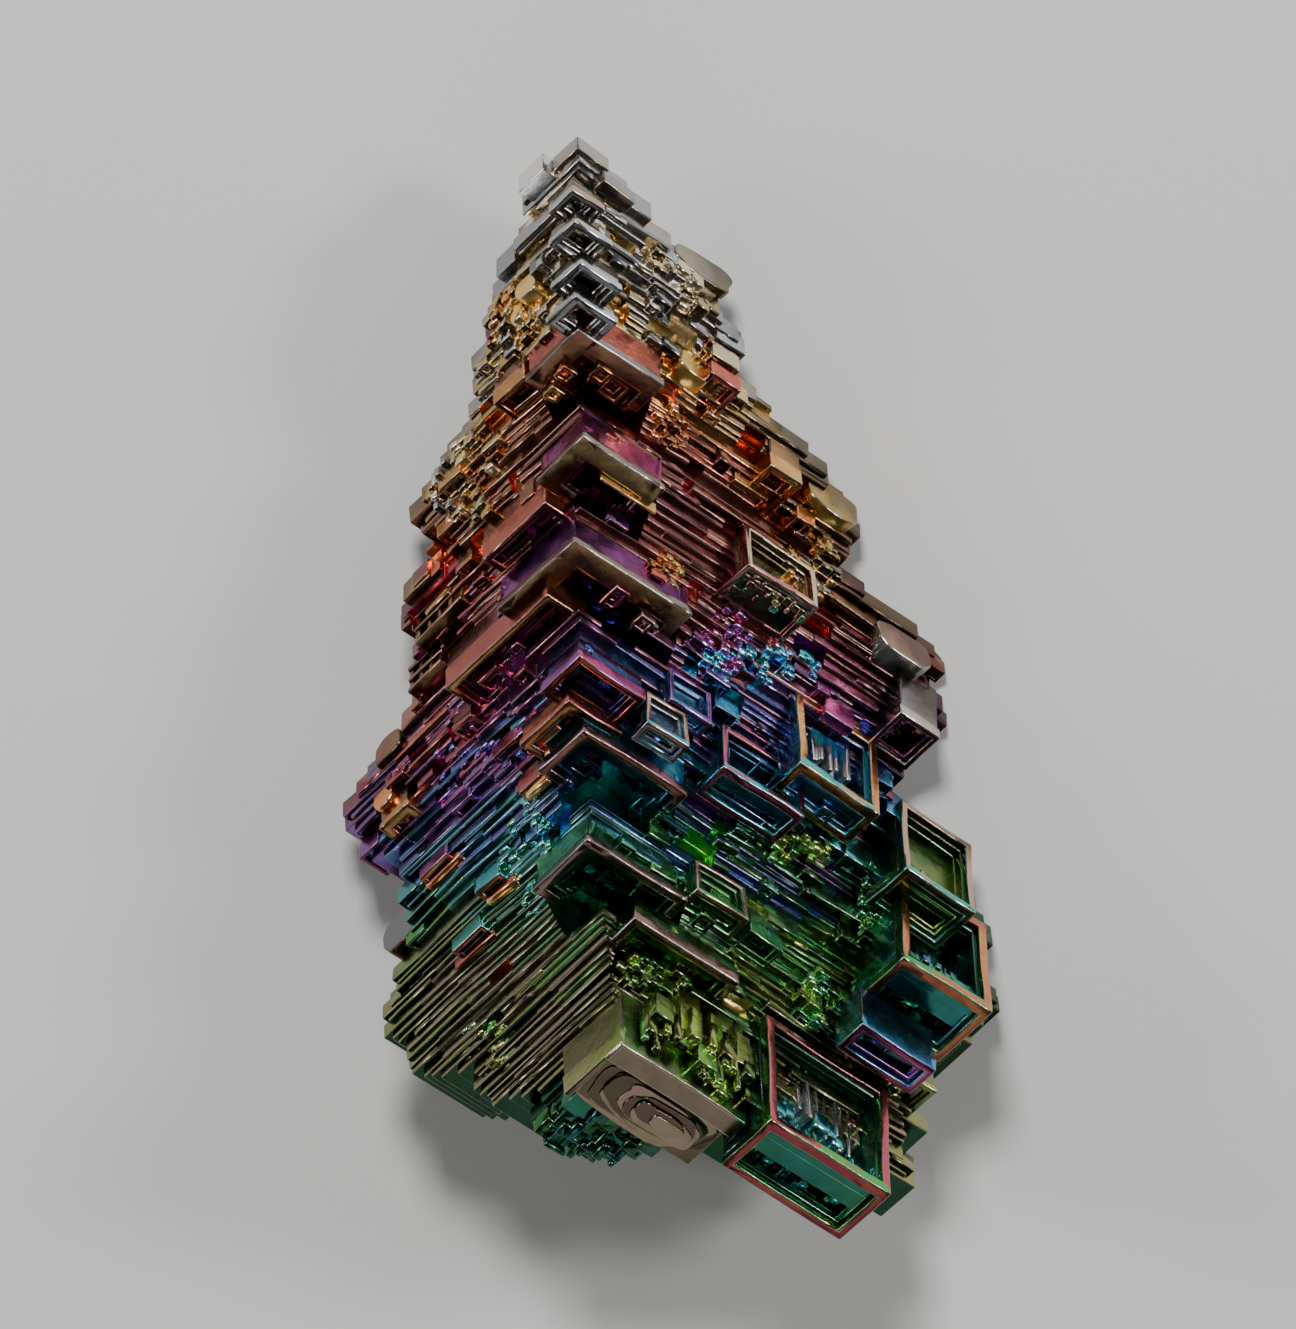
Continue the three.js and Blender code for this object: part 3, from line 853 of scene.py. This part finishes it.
# Patches of small crystals: middle, half-widths, how many, largest size, film, its spread
# and the share that glints.
CRUST = [
    (1.5, 20.5, 2.0, 2.2, 60, 0.6, 0.06, 0.05),
    (2.0, 16.0, 1.2, 1.2, 35, 0.5, 0.16, 0.05),
    (-7.2, 18.0, 1.6, 1.6, 45, 0.6, 0.12, 0.06),
    (-9.5, 10.0, 1.8, 2.2, 45, 0.5, 0.1, 0.07),
    (0.5, 12.8, 0.9, 1.3, 25, 0.4, 0.2, 0.06),
    (7.2, 5.8, 1.6, 1.6, 40, 0.6, 0.1, 0.07),
    (0.0, 5.4, 0.9, 1.1, 25, 0.4, 0.17, 0.08),
    (-11.2, -14.3, 1.2, 1.3, 90, 0.5, 0.68, 0.06, 0.9),
    (-9.9, -15.7, 1.3, 1.2, 90, 0.5, 0.79, 0.06, 0.9),
    (-8.2, -17.0, 1.5, 1.2, 90, 0.5, 0.85, 0.05, 0.9),
    (-6.3, -7.8, 1.2, 3.2, 80, 0.4, 0.7, 0.05, 0.8),
    (4.6, 1.2, 3.2, 0.9, 45, 0.35, 0.65, 0.03, 1.0),
    (-8.6, -3.4, 2.6, 1.0, 35, 0.35, 0.5, 0.06, 0.8),
    (10.3, -10.8, 0.7, 2.4, 60, 0.4, 0.78, 0.04, 0.8),
    (3.4, 2.4, 1.3, 1.5, 25, 0.35, 0.42, 0.04, 1.0),
    (6.6, -7.6, 1.6, 0.7, 25, 0.35, 0.84, 0.04, 1.0),
    (0.5, -13.3, 3.0, 1.0, 55, 0.4, 0.83, 0.05),
    (0.8, -18.3, 1.8, 1.4, 40, 0.9, 0.88, 0.04),
    (7.6, -15.0, 1.0, 1.4, 40, 0.6, 0.8, 0.05),
]


def grow_crust(x, y, wide, long, count, size, film, spread, glint=0.4):
    """One patch, as far as it is on the roof. Half of the crystals that glint are beads."""
    for _ in range(count):
        turn = chance.uniform(0, 2 * math.pi)
        out = math.sqrt(chance.random())
        px = x + wide * out * math.cos(turn)
        py = y + long * out * math.sin(turn)
        if not is_on_roof(px, py):
            continue
        sides = size * uneven_sides((0.3, 0.5, 0.9))
        middle = to_lattice((px, py, roof_height(px, py) + chance.uniform(-0.1, 0.25)))
        tint = max(0.02, film + chance.uniform(-spread, spread))
        finish = GLINT if chance.random() < glint else LEDGE
        is_bead = finish is GLINT and chance.random() < 0.5
        radius = 0.2 if is_bead else 0.04
        grow(details, middle - sides / 2 - 0.25, middle + sides / 2, radius, tint, finish, is_bead)


# ---- one mesh ----


def placed_boxes(boxes, name):
    """A collection with one object for each box, kept out of the scene."""
    holder = bpy.data.collections.new(name)
    for number, box in enumerate(boxes):
        box_object(number, box, holder)
    return holder


def applied(mesh, kind, **settings):
    """The mesh that one modifier makes of the given one."""
    host = bpy.data.objects.new("host", mesh)
    bpy.context.scene.collection.objects.link(host)
    modifier = host.modifiers.new("modifier", kind)
    for name, value in settings.items():
        setattr(modifier, name, value)
    graph = bpy.context.evaluated_depsgraph_get()
    result = bpy.data.meshes.new_from_object(host.evaluated_get(graph))
    bpy.data.objects.remove(host)
    return result


def boolean(group, operation, first, *others):
    node = group.nodes.new("GeometryNodeMeshBoolean")
    node.operation = operation
    node.solver = "MANIFOLD"
    if first:
        group.links.new(first, node.inputs["Mesh 1"])
    for other in others:
        group.links.new(other, node.inputs["Mesh 2"])
    return node.outputs[0]


def new_group(name):
    """A node group and the socket that its mesh leaves by."""
    group = bpy.data.node_groups.new(name, "GeometryNodeTree")
    group.interface.new_socket("Geometry", in_out="OUTPUT", socket_type="NodeSocketGeometry")
    return group, group.nodes.new("NodeGroupOutput").inputs[0]


def joined_growth():
    """The body less its hollows, with the details added: one closed skin.

    Every face of it keeps the values of the box that it came from.
    """
    group, output = new_group("join growth")
    holders = [placed_boxes(boxes, name) for boxes, name in
               ((body, "body"), (hollows, "hollows"), (details, "details"))]

    def boxes_of(holder):
        source = group.nodes.new("GeometryNodeCollectionInfo")
        source.inputs["Collection"].default_value = holder
        source.inputs["Separate Children"].default_value = True
        return source.outputs[0]

    stepped = boolean(group, "UNION", None, boxes_of(holders[0]))
    carved = boolean(group, "DIFFERENCE", stepped, boxes_of(holders[1]))
    whole = boolean(group, "UNION", None, carved, boxes_of(holders[2]))
    group.links.new(whole, output)
    mesh = applied(bpy.data.meshes.new("seed"), "NODES", node_group=group)
    for holder in holders:
        for thing in list(holder.objects):
            bpy.data.meshes.remove(thing.data)
        bpy.data.collections.remove(holder)
    return mesh


WARPS = ((0.22, 0.16), (0.9, 0.035))  # waves per millimetre, millimetres


def warp(mesh):
    """Growth is never quite straight: the skin wanders a little."""
    count = len(mesh.vertices)
    places = np.empty(count * 3)
    mesh.vertices.foreach_get("co", places)
    places = places.reshape(-1, 3)
    moves = np.zeros_like(places)
    for waves, reach in WARPS:
        for number, place in enumerate(places):
            moves[number] += np.array(noise.noise_vector(Vector(place * (waves / MM)))) * reach * MM
    mesh.vertices.foreach_set("co", (places + moves).ravel())
    mesh.update()


def main_skin(mesh):
    """Drops loose crumbs and closed pockets, which share no edge with the outer skin."""
    ends = np.empty(len(mesh.edges) * 2, np.int64)
    mesh.edges.foreach_get("vertices", ends)
    ends = ends.reshape(-1, 2)
    label = np.arange(len(mesh.vertices))
    while True:
        lowest = np.minimum(label[ends[:, 0]], label[ends[:, 1]])
        before = label.copy()
        np.minimum.at(label, ends[:, 0], lowest)
        np.minimum.at(label, ends[:, 1], lowest)
        label = label[label]
        if (label == before).all():
            break
    names, counts = np.unique(label, return_counts=True)
    spare = np.flatnonzero(label != names[counts.argmax()])
    work = bmesh.new()
    work.from_mesh(mesh)
    work.verts.ensure_lookup_table()
    bmesh.ops.delete(work, geom=[work.verts[number] for number in spare], context="VERTS")
    work.to_mesh(mesh)
    work.free()


SHARP_ANGLE = 58


def soften_edges(mesh):
    """Large faces stay flat and the narrow eased edges between them shade as rounded."""
    mesh.shade_smooth()
    mesh.set_sharp_from_angle(angle=math.radians(SHARP_ANGLE))
    return applied(mesh, "WEIGHTED_NORMAL", keep_sharp=True, weight=90)


BARE = -1.0  # the film value of the cut face


CUT_REACH = 0.036
CUT_CELLS = 24


def cutting_block():
    """A block below the resting plane. Its top is in cells, which keeps the cut's faces small."""
    count = CUT_CELLS + 1
    lines = np.linspace(-CUT_REACH, CUT_REACH, count)
    points = [(x, y, 0.0) for y in lines for x in lines]
    points += [(x, y, -CUT_REACH) for y in (-CUT_REACH, CUT_REACH) for x in (-CUT_REACH, CUT_REACH)]
    low_left, low_right, high_left, high_right = range(count * count, count * count + 4)
    faces = [(low_left, high_left, high_right, low_right)]
    for row in range(CUT_CELLS):
        for column in range(CUT_CELLS):
            start = row * count + column
            faces.append((start, start + 1, start + 1 + count, start + count))
    last_row = CUT_CELLS * count
    faces.append([low_left, low_right, *range(count - 1, -1, -1)])
    faces.append([high_right, high_left, *range(last_row, last_row + count)])
    faces.append([high_left, low_left, *range(0, last_row + 1, count)])
    faces.append([low_right, high_right, *range(last_row + count - 1, 0, -count)])
    block = bpy.data.meshes.new("cut")
    block.from_pydata(points, [], faces)
    set_on_faces(block, "film", [BARE] * len(faces))
    return block


def cut_flat(mesh):
    """Cuts the cluster off at the plane it rests on."""
    cutter = bpy.data.objects.new("cut", cutting_block())
    bpy.context.scene.collection.objects.link(cutter)
    group, output = new_group("cut flat")
    group.interface.new_socket("Geometry", in_out="INPUT", socket_type="NodeSocketGeometry")
    source = group.nodes.new("NodeGroupInput")
    tool = group.nodes.new("GeometryNodeObjectInfo")
    tool.inputs["Object"].default_value = cutter
    cut = boolean(group, "DIFFERENCE", source.outputs[0], tool.outputs["Geometry"])
    group.links.new(cut, output)
    result = applied(mesh, "NODES", node_group=group)
    bpy.data.objects.remove(cutter)
    return result


# ---- materials ----

# Interference colours as the oxide film thickens, from bare metal.
FILM_COLOURS = [
    (0.0, (0.58, 0.62, 0.66)), (0.03, (0.66, 0.61, 0.55)), (0.07, (0.76, 0.63, 0.38)),
    (0.12, (0.84, 0.55, 0.16)), (0.18, (0.80, 0.36, 0.10)), (0.24, (0.66, 0.17, 0.08)),
    (0.31, (0.52, 0.08, 0.10)), (0.37, (0.52, 0.07, 0.26)), (0.44, (0.33, 0.08, 0.46)),
    (0.52, (0.12, 0.11, 0.52)), (0.6, (0.05, 0.30, 0.62)), (0.66, (0.04, 0.50, 0.56)),
    (0.73, (0.04, 0.42, 0.28)), (0.8, (0.07, 0.42, 0.08)), (0.87, (0.36, 0.47, 0.07)),
    (0.93, (0.46, 0.38, 0.18)), (1.0, (0.64, 0.36, 0.30)),
]


def new_material(name):
    material = bpy.data.materials.new(name)
    material.use_nodes = True
    nodes = material.node_tree.nodes
    nodes.clear()
    output = nodes.new("ShaderNodeOutputMaterial")
    shader = nodes.new("ShaderNodeBsdfPrincipled")
    material.node_tree.links.new(shader.outputs[0], output.inputs[0])
    return material, shader


def maths(tree, operation, *values):
    node = tree.nodes.new("ShaderNodeMath")
    node.operation = operation
    for socket, value in zip(node.inputs, values):
        if isinstance(value, (int, float)):
            socket.default_value = value
        else:
            tree.links.new(value, socket)
    return node.outputs[0]


def plus(tree, first, second):
    return maths(tree, "ADD", first, second)


def times(tree, first, second):
    return maths(tree, "MULTIPLY", first, second)


def noise_value(tree, vector, scale, detail=3.0, roughness=0.55):
    node = tree.nodes.new("ShaderNodeTexNoise")
    node.inputs["Scale"].default_value = scale
    node.inputs["Detail"].default_value = detail
    node.inputs["Roughness"].default_value = roughness
    tree.links.new(vector, node.inputs["Vector"])
    return node.outputs["Fac"]


def attribute(tree, name):
    node = tree.nodes.new("ShaderNodeAttribute")
    node.attribute_name = name
    return node.outputs["Fac"]


def lattice_coordinates(tree):
    """Object millimetres, turned into the lattice."""
    place = tree.nodes.new("ShaderNodeTexCoord")
    turn = tree.nodes.new("ShaderNodeMapping")
    turn.inputs["Rotation"].default_value = Matrix(LATTICE.tolist()).to_euler()
    turn.inputs["Scale"].default_value = (1 / MM, 1 / MM, 1 / MM)
    tree.links.new(place.outputs["Object"], turn.inputs["Vector"])
    return turn.outputs[0]


def height_in_mm(tree):
    place = tree.nodes.new("ShaderNodeTexCoord")
    parts = tree.nodes.new("ShaderNodeSeparateXYZ")
    tree.links.new(place.outputs["Object"], parts.inputs[0])
    return maths(tree, "MULTIPLY", parts.outputs["Z"], 1 / MM)


def mixed(tree, blend, factor, first, second):
    """A colour mix; each input is a socket or a plain value."""
    node = tree.nodes.new("ShaderNodeMix")
    node.data_type = "RGBA"
    node.blend_type = blend
    for name, value in (("Factor", factor), ("A", first), ("B", second)):
        socket = next(s for s in node.inputs if s.name == name and s.enabled)
        if isinstance(value, (int, float, tuple)):
            socket.default_value = value
        else:
            tree.links.new(value, socket)
    return next(s for s in node.outputs if s.enabled)


def film_colour(tree, film):
    ramp = tree.nodes.new("ShaderNodeValToRGB")
    elements = ramp.color_ramp.elements
    while len(elements) > 1:
        elements.remove(elements[-1])
    elements[0].position = FILM_COLOURS[0][0]
    elements[0].color = (*FILM_COLOURS[0][1], 1)
    for position, colour in FILM_COLOURS[1:]:
        elements.new(position).color = (*colour, 1)
    tree.links.new(film, ramp.inputs[0])
    return ramp.outputs[0]


def add_bump(tree, shader, height, strength, reach):
    """Bump from a height socket, reach in millimetres."""
    bump = tree.nodes.new("ShaderNodeBump")
    bump.inputs["Strength"].default_value = strength
    bump.inputs["Distance"].default_value = reach * MM
    tree.links.new(height, bump.inputs["Height"])
    tree.links.new(bump.outputs[0], shader.inputs["Normal"])


def oxide_material():
    """Interference colour from the film value, greyed on the slopes, darker towards the bottom, with
    painted light and shade by facing and painted highlights on the edges.
    """
    material, shader = new_material("oxide_film_on_bismuth")
    tree = material.node_tree
    place = lattice_coordinates(tree)
    clouds = maths(tree, "SUBTRACT", noise_value(tree, place, 0.35), 0.5)
    mottle = maths(tree, "SUBTRACT", noise_value(tree, place, 1.6, 2.0), 0.5)
    film = plus(tree, attribute(tree, "film"), times(tree, clouds, 0.14))
    film = plus(tree, film, times(tree, mottle, 0.10))
    colour = film_colour(tree, film)
    colour = mixed(tree, "MIX", attribute(tree, "grey"), colour, (0.34, 0.27, 0.26, 1))
    # darker towards the bottom, up to a height that wanders with noise
    bottom_darkening_height = times(tree, noise_value(tree, place, 0.5), 4.0)
    above = maths(tree, "SUBTRACT", height_in_mm(tree), bottom_darkening_height)
    lift = times(tree, above, 0.4)
    lift.node.use_clamp = True
    lift = plus(tree, times(tree, lift, 0.75), 0.25)
    # painted light and shade: each face brightened or darkened by the axis it is square to
    bright = times(tree, attribute(tree, "bright"), lift)
    level = tree.nodes.new("ShaderNodeCombineColor")
    for socket in level.inputs:
        tree.links.new(bright, socket)
    colour = mixed(tree, "MULTIPLY", 1.0, colour, level.outputs[0])
    # painted highlight: eased edges mixed towards a pale pink
    colour = mixed(tree, "MIX", attribute(tree, "edge"), colour, (0.8, 0.66, 0.63, 1))
    tree.links.new(colour, shader.inputs["Base Color"])
    shader.inputs["Metallic"].default_value = 1.0
    grain = noise_value(tree, place, 0.9, 2.0)
    rough = plus(tree, times(tree, grain, 0.3), 0.1)
    tree.links.new(rough, shader.inputs["Roughness"])
    add_bump(tree, shader, noise_value(tree, place, 1.1, 2.0), 0.28, 0.1)
    return material


def broken_material():
    """The bare cut: silvery pink metal with cleavage grain."""
    material, shader = new_material("broken_bismuth")
    tree = material.node_tree
    place = lattice_coordinates(tree)
    shader.inputs["Base Color"].default_value = (0.62, 0.52, 0.49, 1)
    shader.inputs["Metallic"].default_value = 1.0
    shader.inputs["Roughness"].default_value = 0.35
    add_bump(tree, shader, noise_value(tree, place, 1.2, 5.0), 0.6, 0.2)
    return material


# ---- the crystal ----


def grow_everything():
    grow_body()
    for values in HOPPERS:
        grow_hopper(*values)
    for values in ACCENTS:
        grow_block(*values)
    for values in BEADS:
        grow_bead(*values)
    grow_contours((-1.8, -16.7, 2.8), 7.8, 4.4, 1.3, (0.91, 0.93, 0.95, 0.97))
    grow_ladder((-9.6, 4.4, 0.7), 3.6, 2.2, 4, 0.17)
    grow_ladder((-10.6, 1.4, 0.6), 2.6, 1.8, 3, 0.2)
    grow_end_crust(110)
    grow_prisms(-1.0, -16.6, 6.4, 1.9, 80, 0.86)
    grow_ribs((5.3, -20.3, 5), 7.6, 7.7, 0.4, 0.92, 2.0, 0.01)
    grow_blobs((5.3, -20.3, 5), 7.6, 7.7, 2.0, 0.67)
    grow_ribs((6.7, -3.5, 3.4), 5.2, 5.7, 0.3, 0.9, 1.6, 0.02)
    grow_blocks()
    grow_steps()
    carve_notches()
    for values in CRUST:
        grow_crust(*values)


def make_crystal():
    grow_everything()
    mesh = joined_growth()
    warp(mesh)
    mesh = cut_flat(mesh)
    main_skin(mesh)
    mesh = soften_edges(mesh)
    mesh.name = "crystal_cluster"
    mesh.materials.clear()
    mesh.materials.append(oxide_material())
    mesh.materials.append(broken_material())
    films = np.empty(len(mesh.polygons))
    mesh.attributes["film"].data.foreach_get("value", films)
    mesh.polygons.foreach_set("material_index", (films < BARE / 2).astype(np.int32))
    crystal = bpy.data.objects.new("crystal_cluster", mesh)
    bpy.context.scene.collection.objects.link(crystal)
    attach(crystal, "root")
    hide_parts("bismuth_crystal")


# ---- the studio ----


def make_floor():
    mesh = bpy.data.meshes.new("floor")
    half = 1.5
    corners = [(-half, -half, 0), (half, -half, 0), (half, half, 0), (-half, half, 0)]
    mesh.from_pydata(corners, [], [(0, 1, 2, 3)])
    floor = bpy.data.objects.new("floor", mesh)
    material, shader = new_material("pale_floor")
    shader.inputs["Base Color"].default_value = (0.62, 0.61, 0.60, 1)
    shader.inputs["Roughness"].default_value = 0.9
    mesh.materials.append(material)
    bpy.context.scene.collection.objects.link(floor)


def area_light(name, place, target, size, power):
    data = bpy.data.lights.new(name, "AREA")
    data.shape = "SQUARE"
    data.size = size
    data.energy = power
    light = bpy.data.objects.new(name, data)
    light.location = place
    light.rotation_euler = (Vector(target) - Vector(place)).to_track_quat("-Z", "Y").to_euler()
    bpy.context.scene.collection.objects.link(light)


def make_lights():
    world = bpy.data.worlds.new("studio")
    world.use_nodes = True
    background = world.node_tree.nodes["Background"]
    background.inputs["Color"].default_value = (0.5, 0.5, 0.5, 1)
    background.inputs["Strength"].default_value = 0.12
    bpy.context.scene.world = world
    area_light("right", (0.5, 0.1, 0.36), (0, 0, 0), 0.12, 1.8)
    area_light("left", (-0.5, 0.05, 0.3), (0, 0, 0), 0.16, 1.0)
    area_light("top", (-0.05, 0.3, 0.45), (0, 0, 0), 0.12, 2.8)
    area_light("front", (0.02, -0.6, 0.16), (0, 0, 0), 0.3, 0.5)


VIEW_DISTANCE = 0.6
VIEW_HEIGHT = 63.792 * MM


def make_camera():
    """Straight above the cluster, from far enough that the view is nearly parallel."""
    data = bpy.data.cameras.new("camera")
    data.sensor_width = 36
    data.lens = data.sensor_width * VIEW_DISTANCE / VIEW_HEIGHT
    camera = bpy.data.objects.new("camera", data)
    camera.location = (-0.576 * MM, 1.224 * MM, 10 * MM + VIEW_DISTANCE)
    bpy.context.scene.collection.objects.link(camera)
    bpy.context.scene.camera = camera


make_camera()
make_crystal()
make_floor()
make_lights()
